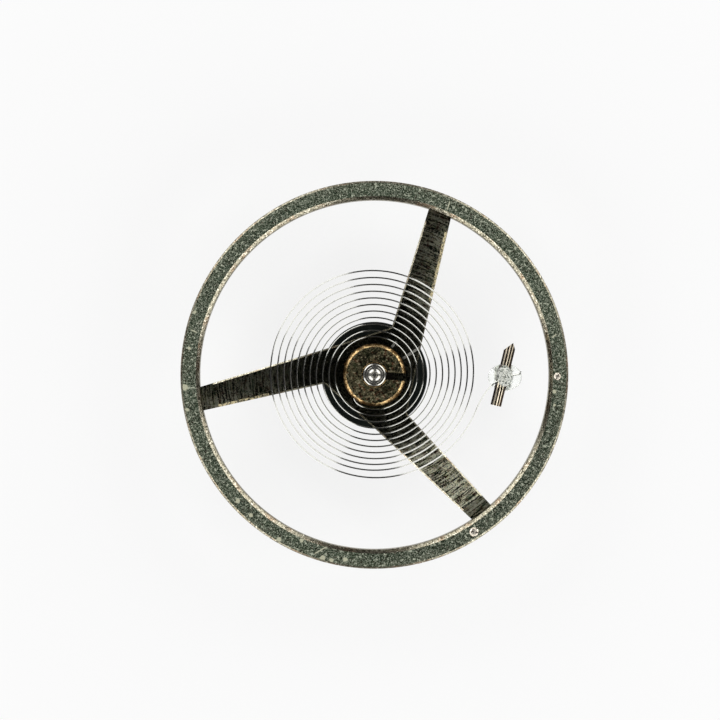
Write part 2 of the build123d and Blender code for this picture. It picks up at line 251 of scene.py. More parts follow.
def bevel(bm, geom, offset, segments=1, affect="EDGES", clamp=False):
    """Bevels some edges or corners of a bmesh. The new faces take the material of those beside them."""
    bmesh.ops.bevel(
        bm,
        geom=geom,
        offset=offset,
        affect=affect,
        segments=segments,
        profile=0.5,
        material=-1,
        clamp_overlap=clamp,
    )


def soften(bm, width, sharper_than=35):
    """Rounds the sharp edges by a small width."""
    limit = radians(sharper_than)
    edges = [edge for edge in bm.edges if edge.is_manifold and edge.calc_face_angle() > limit]
    bevel(bm, edges, width, segments=2, clamp=True)


def piece_from(bm, name, materials, sharper_than=28):
    """Named object of a finished bmesh, smooth but for its sharp edges."""
    bmesh.ops.recalc_face_normals(bm, faces=bm.faces)
    mesh = bpy.data.meshes.new(name)
    bm.to_mesh(mesh)
    bm.free()
    for material in materials:
        mesh.materials.append(material)
    mesh.shade_smooth()
    mesh.set_sharp_from_angle(angle=radians(sharper_than))
    piece = bpy.data.objects.new(name, mesh)
    bpy.context.scene.collection.objects.link(piece)
    return piece


def combine(piece, tool_bm, materials, operation="DIFFERENCE", sharper_than=28):
    """Cuts a tool shape out of a piece or joins it on, at a thousand times the size, to be exact."""
    tool = piece_from(tool_bm, "tool", materials, sharper_than)
    for shape in (piece, tool):
        shape.data.transform(Matrix.Scale(1 / mm, 4))
    change = piece.modifiers.new("change", "BOOLEAN")
    change.operation = operation
    change.solver = "EXACT"
    change.material_mode = "TRANSFER"
    change.object = tool
    graph = bpy.context.evaluated_depsgraph_get()
    changed = bpy.data.meshes.new_from_object(piece.evaluated_get(graph))
    piece.modifiers.remove(change)
    old = piece.data
    piece.data = changed
    bpy.data.objects.remove(tool)
    bpy.data.meshes.remove(old)
    changed.name = piece.name
    changed.transform(Matrix.Scale(mm, 4))
    if not changed.polygons:
        raise RuntimeError(f"nothing is left of {piece.name} after its {operation.lower()}")
    changed.shade_smooth()
    changed.set_sharp_from_angle(angle=radians(sharper_than))


def dress(piece, body, nodes):
    """Sets a finished piece on its body in place of the frame's nodes."""
    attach(piece, body)
    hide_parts(*nodes)


# Tilts in degrees between which a face is a bevel that looks up, and a wall
bevel_tilts = (15, 75)
wall_tilts = (75, 105)


def paint_tilted(bm, tilts, index):
    """Gives the faces whose tilt lies between two angles another material."""
    for face in bm.faces:
        if tilts[0] < degrees(acos(max(-1, min(1, face.normal.z)))) < tilts[1]:
            face.material_index = index


# Materials
def add(tree, kind, links=None, **settings):
    """Adds a shader node. Settings are its own; links gives its sockets values, colours or other nodes."""
    node = tree.nodes.new("ShaderNode" + kind)
    for name, value in settings.items():
        setattr(node, name, value)
    for name, value in (links or {}).items():
        open_sockets = [socket for socket in node.inputs if socket.enabled]
        if isinstance(name, int):
            socket = open_sockets[name]
        else:
            socket = next(socket for socket in open_sockets if socket.name == name)
        if isinstance(value, bpy.types.Node):
            value = next(output for output in value.outputs if output.enabled)
        if isinstance(value, bpy.types.NodeSocket):
            tree.links.new(value, socket)
        elif socket.type == "RGBA":
            socket.default_value = (*(linear(value) if isinstance(value, str) else value), 1)
        else:
            socket.default_value = value
    return node


def new_material(name):
    """Empty node material and its tree."""
    material = bpy.data.materials.new(name)
    material.use_nodes = True
    material.node_tree.nodes.clear()
    return material, material.node_tree


def place_in_mm(tree, flat=False):
    """Place on the piece in millimetres, or only its place in plan."""
    place = add(tree, "TexCoord").outputs["Object"]
    return add(tree, "Mapping", {"Vector": place, "Scale": (1 / mm, 1 / mm, 0 if flat else 1 / mm)})


def mottled(tree, size, detail=2.0, roughness=0.5):
    """Uneven pattern whose spots are about a size across, in millimetres."""
    links = {"Vector": place_in_mm(tree), "Scale": 1 / size, "Detail": detail, "Roughness": roughness}
    return add(tree, "TexNoise", links)


def from_staff(tree):
    """Distance from the staff's axis, in millimetres."""
    return add(tree, "VectorMath", {0: place_in_mm(tree, flat=True)}, operation="LENGTH")


# Height counts as distance by this share, so that turned lines run round a wall as well as a face.
line_height_share = 0.6


def turning_lines(tree, spacing, run):
    """Pattern as a lathe leaves it round the staff, with a spacing across its lines and a run along them."""
    way = add(tree, "VectorMath", {0: place_in_mm(tree, flat=True)}, operation="NORMALIZE")
    round_way = add(tree, "VectorMath", {0: way, 1: 1 / run}, operation="SCALE")
    height = add(tree, "SeparateXYZ", {0: place_in_mm(tree)}).outputs["Z"]
    links = {0: height, 1: line_height_share, 2: from_staff(tree)}
    reach = add(tree, "Math", links, operation="MULTIPLY_ADD")
    across = add(tree, "CombineXYZ", {"Z": add(tree, "Math", {0: reach, 1: spacing}, operation="DIVIDE")})
    drawn = add(tree, "VectorMath", {0: round_way, 1: across}, operation="ADD")
    return add(tree, "TexNoise", {"Vector": drawn, "Scale": 1.0, "Detail": 3.0})


def coated(tree, colour, *coats):
    """Colour under coats in turn, each from nothing at its pattern's low to its full strength at high."""
    for pattern, low, high, strength, coat in coats:
        links = {"Value": pattern, "From Min": low, "From Max": high, "To Max": strength}
        share = add(tree, "MapRange", links, interpolation_type="SMOOTHSTEP")
        colour = add(tree, "Mix", {"Factor": share, "A": colour, "B": coat}, data_type="RGBA")
    return colour


def widest(tree, shares):
    """Share that covers all that any of some shares covers."""
    cover = shares[0]
    for share in shares[1:]:
        cover = add(tree, "Math", {0: cover, 1: share}, operation="MAXIMUM")
    return cover


def bare_of(tree, *covers):
    """One where the metal is bare, and nothing where any of some covers lies on it."""
    return add(tree, "Math", {0: 1.0, 1: widest(tree, covers)}, operation="SUBTRACT")


def side_share(tree, angle):
    """One on the side of the piece that lies at an angle from the staff, minus one on the opposite side."""
    way = add(tree, "VectorMath", {0: place_in_mm(tree, flat=True)}, operation="NORMALIZE")
    return add(tree, "VectorMath", {0: way, 1: heading(angle)}, operation="DOT_PRODUCT")


# A drop's ragged edge in shares of its radius: how far it wanders, and where it starts and ends
drop_wander = 1.2
drop_edge = (1.3, 1.7)
# A stroke fades out between these shares of its half length and half width.
stroke_edge = (0.8, 1.2)


def near_places(tree, places):
    """One inside any of some round places, each a centre in plan and a radius in mm, fading at the edge."""
    plan = place_in_mm(tree, flat=True)
    ragged = mottled(tree, 0.09)
    found = []
    for centre, radius in places:
        gap = add(tree, "VectorMath", {0: plan, 1: centre}, operation="DISTANCE")
        gap = add(tree, "Math", {0: ragged, 1: radius * drop_wander, 2: gap}, operation="MULTIPLY_ADD")
        full, gone = [radius * share for share in drop_edge]
        limits = {"Value": gap, "From Min": full, "From Max": gone, "To Min": 1.0, "To Max": 0.0}
        found.append(add(tree, "MapRange", limits, interpolation_type="SMOOTHSTEP"))
    return widest(tree, found)


def along_strokes(tree, table, width):
    """One along straight strokes in mm. Each goes from one distance and angle round the staff to another."""
    found = []
    for start, end in [(polar(*start), polar(*end)) for start, end in table]:
        turn = (0, 0, atan2((end - start).y, (end - start).x))
        links = {"Vector": place_in_mm(tree, flat=True), "Location": (start + end) / 2, "Rotation": turn}
        sides = add(tree, "SeparateXYZ", {0: add(tree, "Mapping", links, vector_type="TEXTURE")})
        for side, half in (("X", (end - start).length / 2), ("Y", width / 2)):
            off = add(tree, "Math", {0: sides.outputs[side]}, operation="ABSOLUTE")
            full, gone = [half * share for share in stroke_edge]
            limits = {"Value": off, "From Min": full, "From Max": gone, "To Min": 1.0, "To Max": 0.0}
            found.append(add(tree, "MapRange", limits))
        found.append(add(tree, "Math", {0: found.pop(), 1: found.pop()}, operation="MULTIPLY"))
    return widest(tree, found)


# Most of a noise pattern lies between these values.
noise_range = (0.3, 0.7)


def finish(tree, colour, roughness, relief=None, relief_depth=0.0, **inputs):
    """Surface of a colour and a relief in mm, with one roughness for its low parts and one for its high."""
    links = {"Base Color": colour, "Roughness": roughness}
    links.update({name.replace("_", " "): value for name, value in inputs.items()})
    if relief is not None:
        from_low, from_high = noise_range
        to_low, to_high = roughness
        limits = {"From Min": from_low, "From Max": from_high, "To Min": to_low, "To Max": to_high}
        links["Roughness"] = add(tree, "MapRange", {"Value": relief, **limits})
        bump = {"Height": relief, "Distance": relief_depth * mm, "Strength": 1.0}
        links["Normal"] = add(tree, "Bump", bump)
    add(tree, "OutputMaterial", {"Surface": add(tree, "BsdfPrincipled", links)})


# Dried drops on the rim: distance from the staff, angle and the drop's radius, in millimetres and degrees
rim_drops = [
    (4.90, 183.8, 0.095),
    (4.91, 190.6, 0.06),
    (4.82, 171.8, 0.045),
    (4.90, 160.8, 0.05),
    (4.78, 222.8, 0.07),
    (4.82, 228.7, 0.055),
    (4.90, 239.9, 0.07),
    (4.66, 246.3, 0.065),
    (4.91, 254.2, 0.08),
    (4.90, 256.9, 0.06),
    (4.57, 256.9, 0.05),
    (4.82, 261.1, 0.065),
    (4.66, -5.3, 0.055),
    (4.70, -9.5, 0.045),
]

# Fine scratches on the rim: start and end, each as distance and angle
rim_scratches = [
    ((4.87, 66.5), (4.64, 66.2)),
    ((4.86, 251.5), (4.57, 254.7)),
    ((4.86, 166.2), (4.70, 166.6)),
    ((4.67, 11.8), (4.80, 12.6)),
]

# Marks scribed on the hub when the spring was set: start and end, each as distance and angle
hub_strokes = [
    ((0.86, 29.6), (1.40, 31.2)),
    ((0.84, 58.0), (1.03, 56.4)),
]

# Painted highlight along two bevelled edges of the arms: start and end, each as distance and angle
arm_edge_highlights = [
    ((2.64, 190.9), (4.23, 191.6)),
    ((2.28, 51.4), (4.28, 63.6)),
]
scratch_width = 0.03
hub_stroke_width = 0.065
edge_highlight_width = 0.13

# The side on which the rim is darker, the arm in line with a lamp that the arms' painted shade leaves out,
# and how far, in degrees, the graining stick left its lines turned off true circles
dark_rim_angle = 315
lit_arm_angle = 308
grain_twist = 3.5

# Where the pale specks on the rim start and where they are full, in the values of their noise
speck_start = 0.61
speck_full = 0.67


def grained_alloy(looks):
    """Copper alloy of the rim, turned and grained matt: grey-green and pitted, with pale specks."""
    material, tree = new_material("grained_copper_alloy")
    grit = mottled(tree, 0.027, roughness=0.7)
    specks = mottled(tree, 0.075, detail=1)
    drops = near_places(tree, [(polar(away, angle), radius) for away, angle, radius in rim_drops])
    scratches = along_strokes(tree, rim_scratches, scratch_width)
    colour = coated(
        tree,
        looks.rim_colour,
        (mottled(tree, 0.45, detail=3), 0.6, 0.4, 0.5, "#5f6b58"),
        (side_share(tree, dark_rim_angle), 0.6, 0.95, 0.35, "#3a4236"),
        (from_staff(tree), 4.74, 4.93, 0.35, "#a3a98e"),
        (mottled(tree, 0.06), 0.55, 0.7, 0.6, "#6c5148"),
        (mottled(tree, 0.07), 0.55, 0.7, 0.6, "#4c6a58"),
        (grit, 0.49, 0.39, 0.9, "#1c2418"),
        (grit, 0.53, 0.62, 0.95, "#dfe5cf"),
        (specks, speck_start, speck_full, 1.0, "#b3b8a3"),
        (scratches, 0.0, 1.0, 1.0, "#c4c4aa"),
        (drops, 0.0, 1.0, 1.0, looks.stain_colour),
    )
    limits = {"Value": specks, "From Min": speck_start, "From Max": speck_full}
    bare = bare_of(tree, drops, scratches, add(tree, "MapRange", limits))
    finish(tree, colour, (0.42, 0.52), grit, 0.006, Metallic=bare)
    return material


def edge_highlight_specks(tree):
    """One in the specks of painted highlight along two of the arms' edges."""
    edges = along_strokes(tree, arm_edge_highlights, edge_highlight_width)
    caught = add(tree, "Math", {0: edges, 1: mottled(tree, 0.04, roughness=0.7)}, operation="MULTIPLY")
    return add(tree, "MapRange", {"Value": caught, "From Min": 0.45, "From Max": 0.52})


def circular_grained_alloy(looks):
    """The same alloy on the arms, grained round the staff: an arm lights up in line with a lamp."""
    material, tree = new_material("circular_grained_copper_alloy")
    distance = from_staff(tree)
    # Two of the arms are more tarnished than the third, which is dark only at its end.
    # Painted shade darkens the two arms out of line with a lamp, and the third at its end in the relief.
    lit_arm_side = side_share(tree, lit_arm_angle)
    arm_end_shade_reach = add(tree, "Math", {0: distance, 1: lit_arm_side}, operation="MULTIPLY")
    # The real grain is finer than the picture's dots, so its lines stand 0.07 mm apart.
    lines = turning_lines(tree, 0.037, 0.12)
    grit = mottled(tree, 0.035, roughness=0.7)
    strokes = along_strokes(tree, hub_strokes, hub_stroke_width)
    painted_edge_highlight = edge_highlight_specks(tree)
    colour = coated(
        tree,
        looks.arm_colour,
        (mottled(tree, 0.16), 0.54, 0.66, 0.6, "#8a5238"),
        (mottled(tree, 0.2), 0.54, 0.66, 0.6, "#4f6a48"),
        (lines, 0.505, 0.475, 1.0, "#0b0f08"),
        (lines, 0.53, 0.555, 1.0, "#fafbe3"),
        (grit, 0.46, 0.4, 0.8, "#15160f"),
        (grit, 0.54, 0.6, 0.8, "#fff8e0"),
        # painted shade: the lit arm's end in the relief under the rim, then the two other arms
        (arm_end_shade_reach, 4.1, 4.19, 0.5, "#2a2e22"),
        (lit_arm_side, 0.3, 0.0, 0.52, "#161b12"),
        (mottled(tree, 0.13), 0.54, 0.64, 0.4, "#5e3a2c"),
        (mottled(tree, 0.17), 0.54, 0.64, 0.4, "#38553a"),
        (distance, 2.8, 1.6, 0.78, "#0c1210"),
        (mottled(tree, 0.06, detail=1), 0.67, 0.73, 1.0, "#8d8f80"),
        # painted highlight along two of the arms' bevelled edges
        (painted_edge_highlight, 0.0, 1.0, 1.0, looks.edge_highlight_colour),
        (strokes, 0.0, 1.0, 1.0, "#fbfaf2"),
    )
    bare = bare_of(tree, strokes, painted_edge_highlight)
    # The grain's direction at each place, which the reflections are drawn out across
    links = {"Vector": place_in_mm(tree, flat=True), "Axis": up, "Angle": radians(grain_twist)}
    outwards = add(tree, "VectorRotate", links)
    in_world = {"vector_type": "VECTOR", "convert_from": "OBJECT", "convert_to": "WORLD"}
    outwards = add(tree, "VectorTransform", {0: outwards}, **in_world)
    outwards = add(tree, "VectorMath", {0: outwards}, operation="NORMALIZE")
    grained = {"Metallic": bare, "Anisotropic": 1.0, "Tangent": outwards}
    finish(tree, colour, (0.24, 0.56), lines, 0.0016, **grained)
    return material


# Bare alloy as each tool left it: the material's name, its two roughnesses and how strongly it is pitted.
# The rim's outer bevel is rubbed dull by handling, so it shines less but from more sides.
cut_finishes = [
    ("cut_bevel_copper_alloy", (0.18, 0.28), 0.83),
    ("rubbed_bevel_copper_alloy", (0.33, 0.43), 0.83),
    ("turned_wall_copper_alloy", (0.36, 0.46), 0.2),
]


def cut_alloy(looks, name, roughness, pitting):
    """Bare alloy on bevels and walls: pale, with fine tool marks round it and a brownish film."""
    material, tree = new_material(name)
    marks = turning_lines(tree, 0.03, 0.3)
    painted_edge_highlight = edge_highlight_specks(tree)
    colour = coated(
        tree,
        looks.bevel_colour,
        (marks, 0.5, 0.36, 0.7, "#6e6a58"),
        (mottled(tree, 0.3, detail=3), 0.5, 0.7, 0.6, "#8a6f58"),
        (mottled(tree, 0.045, roughness=0.7), 0.5, 0.42, pitting, "#2e2c22"),
        (mottled(tree, 0.05, roughness=0.7), 0.56, 0.66, pitting, "#ddd8c6"),
        # painted highlight along two of the arms' bevelled edges
        (painted_edge_highlight, 0.0, 1.0, 1.0, looks.edge_highlight_colour),
    )
    finish(tree, colour, roughness, marks, 0.0006, Metallic=bare_of(tree, painted_edge_highlight))
    return material


def coated_once(name, colour, pattern, coat, roughness, relief_depth, **inputs):
    """Material of one colour under one coat. Its pattern, a function and its sizes, is its relief too."""
    material, tree = new_material(name)
    draw, *sizes = pattern
    relief = draw(tree, *sizes)
    finish(tree, coated(tree, colour, (relief, *coat)), roughness, relief, relief_depth, **inputs)
    return material


def drilled_alloy(looks):
    """Bare alloy in the poise marks, fresh from the drill: pale, with a dark swirl of tool marks."""
    material, tree = new_material("drilled_copper_alloy")
    links = {"Vector": place_in_mm(tree), "Scale": 9.0, "Detail": 1.0, "Distortion": 2.0}
    swirl = add(tree, "TexNoise", links)
    colour = coated(tree, looks.mark_colour, (swirl, 0.46, 0.38, 0.9, "#4a3f34"))
    finish(tree, colour, (0.45, 0.6), swirl, 0.004, Metallic=1.0)
    return material


def burnished_steel(looks):
    """Hardened steel, burnished: bright and cold, with fine rings from the lap."""
    rings = (turning_lines, 0.014, 0.5)
    coat = (0.55, 0.35, 0.6, "#8f9194")
    name = "burnished_hardened_steel"
    return coated_once(name, looks.steel_colour, rings, coat, (0.2, 0.3), 0.0008, Metallic=1.0)


def slot_shaded_steel(looks):
    """The staff's lip, spread by the riveting punch: the same steel left dull, with painted shade of the
    collet's slot.
    """
    dents = (mottled, 0.03)
    coat = (0.5, 0.65, 0.6, "#6c675c")
    name = "slot_shaded_hardened_steel"
    return coated_once(name, looks.rivet_shade_colour, dents, coat, (0.45, 0.6), 0.002, Metallic=1.0)


def lapped_bronze(looks):
    """Bronze of the rollers, lapped flat: a dark mirror with a few hair scratches."""
    material, tree = new_material("lapped_roller_bronze")
    haze = mottled(tree, 0.2, detail=4)
    colour = coated(tree, looks.roller_colour, (haze, 0.45, 0.7, 0.8, "#5c625c"))
    finish(tree, colour, (0.3, 0.4), turning_lines(tree, 0.02, 0.15), 0.0001, Metallic=1.0)
    return material


def synthetic_ruby(looks):
    """Polished ruby: deep red and clear, with a bright gloss."""
    growth = (mottled, 0.08)
    coat = (0.45, 0.7, 0.8, "#d0304a")
    clear = {"IOR": 1.76, "Transmission_Weight": 0.7}
    name = "polished_synthetic_ruby"
    return coated_once(name, looks.ruby_colour, growth, coat, (0.04, 0.07), 0.0001, **clear)


def melted_shellac(looks):
    """Shellac melted round the jewel: amber, glossy, with small bubbles."""
    bubbles = (mottled, 0.03)
    coat = (0.5, 0.7, 0.9, "#c07a2c")
    return coated_once("melted_shellac", looks.shellac_colour, bubbles, coat, (0.12, 0.2), 0.002, IOR=1.52)


def turned_brass(looks):
    """Brass of the collet's face, turned and tarnished: olive brown, blotched red and green, and gritty."""
    material, tree = new_material("turned_tarnished_brass")
    grit = mottled(tree, 0.045, roughness=0.7)
    colour = coated(
        tree,
        looks.face_colour,
        (turning_lines(tree, 0.04, 0.4), 0.5, 0.35, 0.5, "#4a4228"),
        (mottled(tree, 0.12), 0.52, 0.64, 0.7, "#51603e"),
        (mottled(tree, 0.1), 0.54, 0.66, 0.7, "#8e5034"),
        (mottled(tree, 0.35), 0.52, 0.4, 0.6, "#262a1c"),
        (grit, 0.5, 0.4, 0.9, "#14120b"),
        (grit, 0.57, 0.67, 0.9, "#e2d6b2"),
    )
    finish(tree, colour, (0.38, 0.5), grit, 0.004, Metallic=1.0)
    return material


def polished_brass(looks):
    """Polished brass of the collet's bevels: gold where it is clean and brown where it has tarnished."""
    material, tree = new_material("polished_collet_brass")
    marks = mottled(tree, 0.04, detail=3)
    # The bevel's lower part, away from the staff, is beyond the reach of handling and has tarnished.
    wander = mottled(tree, 0.12)
    handled = add(tree, "Math", {0: wander, 1: 0.16, 2: from_staff(tree)}, operation="MULTIPLY_ADD")
    colour = coated(
        tree,
        looks.bevel_colour,
        (marks, 0.54, 0.4, 0.9, "#5d3b1c"),
        (mottled(tree, 0.2, detail=3), 0.5, 0.42, 0.8, "#2a1e11"),
        (handled, 0.835, 0.86, 0.88, "#4a3216"),
    )
    finish(tree, colour, (0.28, 0.42), marks, 0.003, Metallic=1.0)
    return material


def drawn_gilt_brass(looks):
    """Gilt brass of the stud, drawn: cream ridges, grooves painted dark along it, and painted shade down both
    sides.
    """
    material, tree = new_material("drawn_gilt_brass")
    turn = (0, 0, radians(stud_angle))
    links = {"Vector": place_in_mm(tree), "Location": stud_point / mm, "Rotation": turn}
    along = add(tree, "Mapping", links, vector_type="TEXTURE")
    # Draw marks run along the pin. They are drawn 0.04 mm apart, coarse enough to show.
    drawn = add(tree, "Mapping", {"Vector": along, "Scale": (1.5, 25, 25)})
    marks = add(tree, "TexNoise", {"Vector": drawn, "Scale": 1.0, "Detail": 1.0})
    # The shallow grooves stand 0.07 mm apart. Their dark colour is painted reflection stripes.
    links = {"Vector": along, "Scale": 4.5, "Distortion": 0.4, "Detail": 1.0, "Phase Offset": pi}
    grooves_and_painted_stripes = add(tree, "TexWave", links, wave_type="BANDS", bands_direction="Y")
    across = add(tree, "SeparateXYZ", {0: along}).outputs["Y"]
    off = add(tree, "Math", {0: across}, operation="ABSOLUTE")
    colour = coated(
        tree,
        looks.gilt_colour,
        (marks, 0.5, 0.62, 0.8, "#f6ecd2"),
        (marks, 0.44, 0.34, 0.4, "#8a6236"),
        (grooves_and_painted_stripes, 0.6, 0.35, 1.0, "#1a0f07"),
        # painted shade down both sides of the stud
        (off, 0.105, 0.12, 0.95, "#24140a"),
    )
    finish(tree, colour, (0.3, 0.38), grooves_and_painted_stripes, 0.02, Metallic=1.0)
    return material


def rolled_spring_alloy(looks):
    """Cold rolled spring alloy: silver grey, bright on the rolled edge, with marks of the rolls."""
    streaks = (mottled, 0.03, 3)
    coat = (0.5, 0.35, 0.6, "#6b6a69")
    name = "rolled_spring_alloy"
    return coated_once(name, looks.strip_colour, streaks, coat, (0.12, 0.17), 0.0002, Metallic=1.0)


# The bead's core: its middle in plan, its half lengths in millimetres, how far the wrinkles move its edge,
# and where the edge starts and ends, in shares of those half lengths
resin_core = Vector((3.327 * mm, -0.03 * mm, 0))
resin_core_size = (0.195, 0.27, 1)
resin_core_wander = 0.4
resin_core_edge = (1.1, 1.25)


def clear_resin(looks):
    """Cured clear resin, smooth at the sides, with an oval core that wrinkled and turned grey as it set."""
    material, tree = new_material("cured_clear_resin")
    # The core's wrinkles wind about 0.1 mm apart.
    links = {"Vector": place_in_mm(tree), "Scale": 9.0, "Detail": 3.0, "Roughness": 0.6, "Distortion": 2.5}
    wrinkles = add(tree, "TexNoise", links)
    links = {"Vector": place_in_mm(tree, flat=True), "Location": resin_core / mm, "Scale": resin_core_size}
    core_place = add(tree, "Mapping", links, vector_type="TEXTURE")
    gap = add(tree, "VectorMath", {0: core_place}, operation="LENGTH")
    gap = add(tree, "Math", {0: wrinkles, 1: resin_core_wander, 2: gap}, operation="MULTIPLY_ADD")
    start, end = resin_core_edge
    colour = coated(
        tree,
        "#f0f2ea",
        (wrinkles, 0.52, 0.45, 1.0, "#a3aaa0"),
        (wrinkles, 0.45, 0.4, 1.0, "#3f4640"),
        (gap, start, end, 1.0, looks.resin_colour),
    )
    limits = {"Value": gap, "From Min": start, "From Max": end}
    clear = add(tree, "MapRange", {**limits, "To Min": 0.12, "To Max": 1.0})
    dull = add(tree, "MapRange", {**limits, "To Min": 0.3, "To Max": 0.02})
    relief = add(tree, "Bump", {"Height": wrinkles, "Distance": 0.006 * mm, "Strength": 1.0})
    finish(tree, colour, dull, IOR=1.2, Transmission_Weight=clear, Normal=relief)
    return material


# The eye sees this share of the table's plain colour near the object, so that its shadow stays, and all of it
# beyond the second of these distances in millimetres. Metal reflects a share of its own.
table_share = 0.8
table_share_in_metal = 0.8
shadow_edge = (15.0, 45.0)


def pale_table(looks):
    """Plain pale table that keeps the object's shadow and shows as pale in metal and clear resin."""
    material, tree = new_material("plain_pale_table")
    light_path = add(tree, "LightPath")
    start, end = shadow_edge
    limits = {"Value": from_staff(tree), "From Min": start, "From Max": end, "To Min": table_share}
    evenness = add(tree, "MapRange", limits)
    shares = [light_path.outputs["Is Transmission Ray"]]
    for ray, share in (("Is Camera Ray", evenness), ("Is Glossy Ray", table_share_in_metal)):
        shares.append(add(tree, "Math", {0: light_path.outputs[ray], 1: share}, operation="MULTIPLY"))
    paper = add(tree, "BsdfDiffuse", {"Color": looks.table_colour})
    plain = add(tree, "Emission", {"Color": looks.table_colour, "Strength": 1.0})
    both = add(tree, "MixShader", {0: widest(tree, shares), 1: paper, 2: plain})
    add(tree, "OutputMaterial", {"Surface": both})
    return material


# Wheel: heights and places that its sizes give
arm_above_rim_underside = 0.12 * mm
arm_count = 3
square_edge_angle = 71.85
square_root_radius = 1.3 * mm
square_root_lag = 1.95
swept_root_radius = 1.42 * mm
swept_root_lag = 39.95
arm_root_fillet = 0.05 * mm
wheel_seat_radius = 0.42 * mm
arm_relief_width = 0.32 * mm
arm_relief_depth = 0.03 * mm
poise_marks = [
    # distance from the staff, angle, radius of the mark
    (4.71 * mm, -0.5, 0.095 * mm),
    (4.79 * mm, 302.4, 0.115 * mm),
]
poise_mark_depth = 0.05 * mm
edge_break = 0.006 * mm
# Edges between faces further apart than this many degrees stay sharp.
facet_angle = 18
# A rim bevel has two facets, which meet at these shares of its width in from its foot and down from its top.
bevel_crown_in = 0.12
bevel_crown_down = 0.6
# The arms' bevels drop by a share of their width. Corners within so many widths of the top belong to them.
arm_bevel_drop = 0.66
arm_bevel_reach = 1.5
rim_steps = 288
disc_steps = 192


def arm_heights(wheel_looks):
    """Heights of the arms' underside and face."""
    bottom = wheel_low.z + arm_above_rim_underside
    return bottom, bottom + wheel_looks.arm_thickness


def rim_shape(looks):
    """Bmesh of the rim: its faces, inner bevel, outer bevel and walls take the four materials in turn."""
    outer = looks.rim_radius
    inner = outer - looks.rim_width
    middle = inner + looks.rim_width / 2
    low = wheel_low.z
    high = wheel_high.z
    profile = [
        (inner + looks.under_bevel, low),
        (outer - looks.under_bevel, low),
        (outer, low + looks.under_bevel),
        (outer, high - looks.outer_bevel),
        (outer - looks.outer_bevel * bevel_crown_in, high - looks.outer_bevel * bevel_crown_down),
        (outer - looks.outer_bevel, high),
        (inner + looks.inner_bevel, high),
        (inner + looks.inner_bevel * bevel_crown_in, high - looks.inner_bevel * bevel_crown_down),
        (inner, high - looks.inner_bevel),
        (inner, low + looks.under_bevel),
    ]
    bm = turned(profile, rim_steps, closed=True)
    soften(bm, edge_break)
    paint_tilted(bm, bevel_tilts, 1)
    for face in bm.faces:
        if face.material_index == 1 and face.calc_center_median().xy.length > middle:
            face.material_index = 2
    paint_tilted(bm, wall_tilts, 3)
    return bm


def spider_shape(looks):
    """Bmesh of the hub and its three arms, each with one nearly radial edge and one swept edge."""
    end_radius = looks.rim_radius - looks.rim_width / 2
    inner = looks.rim_radius - looks.rim_width
    end_lag = degrees(looks.arm_width / inner)
    top = arm_heights(looks)[1]
    bm = bmesh.new()
    corners = []
    for arm in range(arm_count):
        square_edge = square_edge_angle + arm * 360 / arm_count
        corners.append(polar(swept_root_radius, square_edge - swept_root_lag))
        corners.append(polar(end_radius, square_edge - end_lag))
        corners.append(polar(end_radius, square_edge))
        corners.append(polar(square_root_radius, square_edge - square_root_lag))
    outline = bm.faces.new([bm.verts.new(corner) for corner in corners])
    roots = [corner for corner in outline.verts if corner.co.length < inner]
    bevel(bm, roots, arm_root_fillet, segments=6, affect="VERTICES")
    bmesh.ops.translate(bm, vec=up * top, verts=bm.verts)
    walls = bmesh.ops.extrude_face_region(bm, geom=bm.faces[:])
    lowered = [item for item in walls["geom"] if isinstance(item, bmesh.types.BMVert)]
    bmesh.ops.translate(bm, vec=-up * looks.arm_thickness, verts=lowered)
    bmesh.ops.recalc_face_normals(bm, faces=bm.faces)
    near = edge_break / 10
    rims = [edge for edge in bm.edges if all(abs(corner.co.z - top) < near for corner in edge.verts)]
    bevel(bm, rims, looks.arm_bevel)
    for corner in bm.verts:
        if top - corner.co.z < arm_bevel_reach * looks.arm_bevel:
            corner.co.z = top - (top - corner.co.z) * arm_bevel_drop
    bmesh.ops.recalc_face_normals(bm, faces=bm.faces)
    paint_tilted(bm, bevel_tilts, 1)
    return bm


def build_wheel(looks):
    """Wheel as one closed piece: rim, arms and hub joined, and the poise marks drilled in it."""
    inner = looks.rim_radius - looks.rim_width
    arm_top = arm_heights(looks)[1]
    thickness = looks.arm_thickness
    grained = grained_alloy(looks)
    circular = circular_grained_alloy(looks)
    cut, rubbed, wall = [cut_alloy(looks, *how) for how in cut_finishes]
    drilled = drilled_alloy(looks)
    wheel = piece_from(rim_shape(looks), "balance_wheel_finished", [grained, cut, rubbed, wall], facet_angle)
    spider = piece_from(spider_shape(looks), "spider", [circular, cut], facet_angle)
    depth = arm_relief_depth
    relief = ring(inner - arm_relief_width, inner + depth, arm_top - depth, arm_top + depth, disc_steps)
    hole = rod(wheel_seat_radius, up * (arm_top - 2 * thickness), up, 3 * thickness, segments=96)
    for tool in (relief, hole):
        combine(spider, tool, [circular], sharper_than=facet_angle)
    spider_bm = bmesh.new()
    spider_bm.from_mesh(spider.data)
    bpy.data.objects.remove(spider)
    combine(wheel, spider_bm, [circular, cut], "UNION", facet_angle)
    for away, angle, radius in poise_marks:
        mark = bmesh.new()
        bmesh.ops.create_uvsphere(mark, u_segments=48, v_segments=24, radius=radius)
        bmesh.ops.scale(mark, vec=(1, 1, poise_mark_depth / radius), verts=mark.verts)
        bmesh.ops.translate(mark, vec=polar(away, angle) + up * wheel_high.z, verts=mark.verts)
        combine(wheel, mark, [drilled], sharper_than=facet_angle)
    dress(wheel, "balance", ["balance_wheel"])


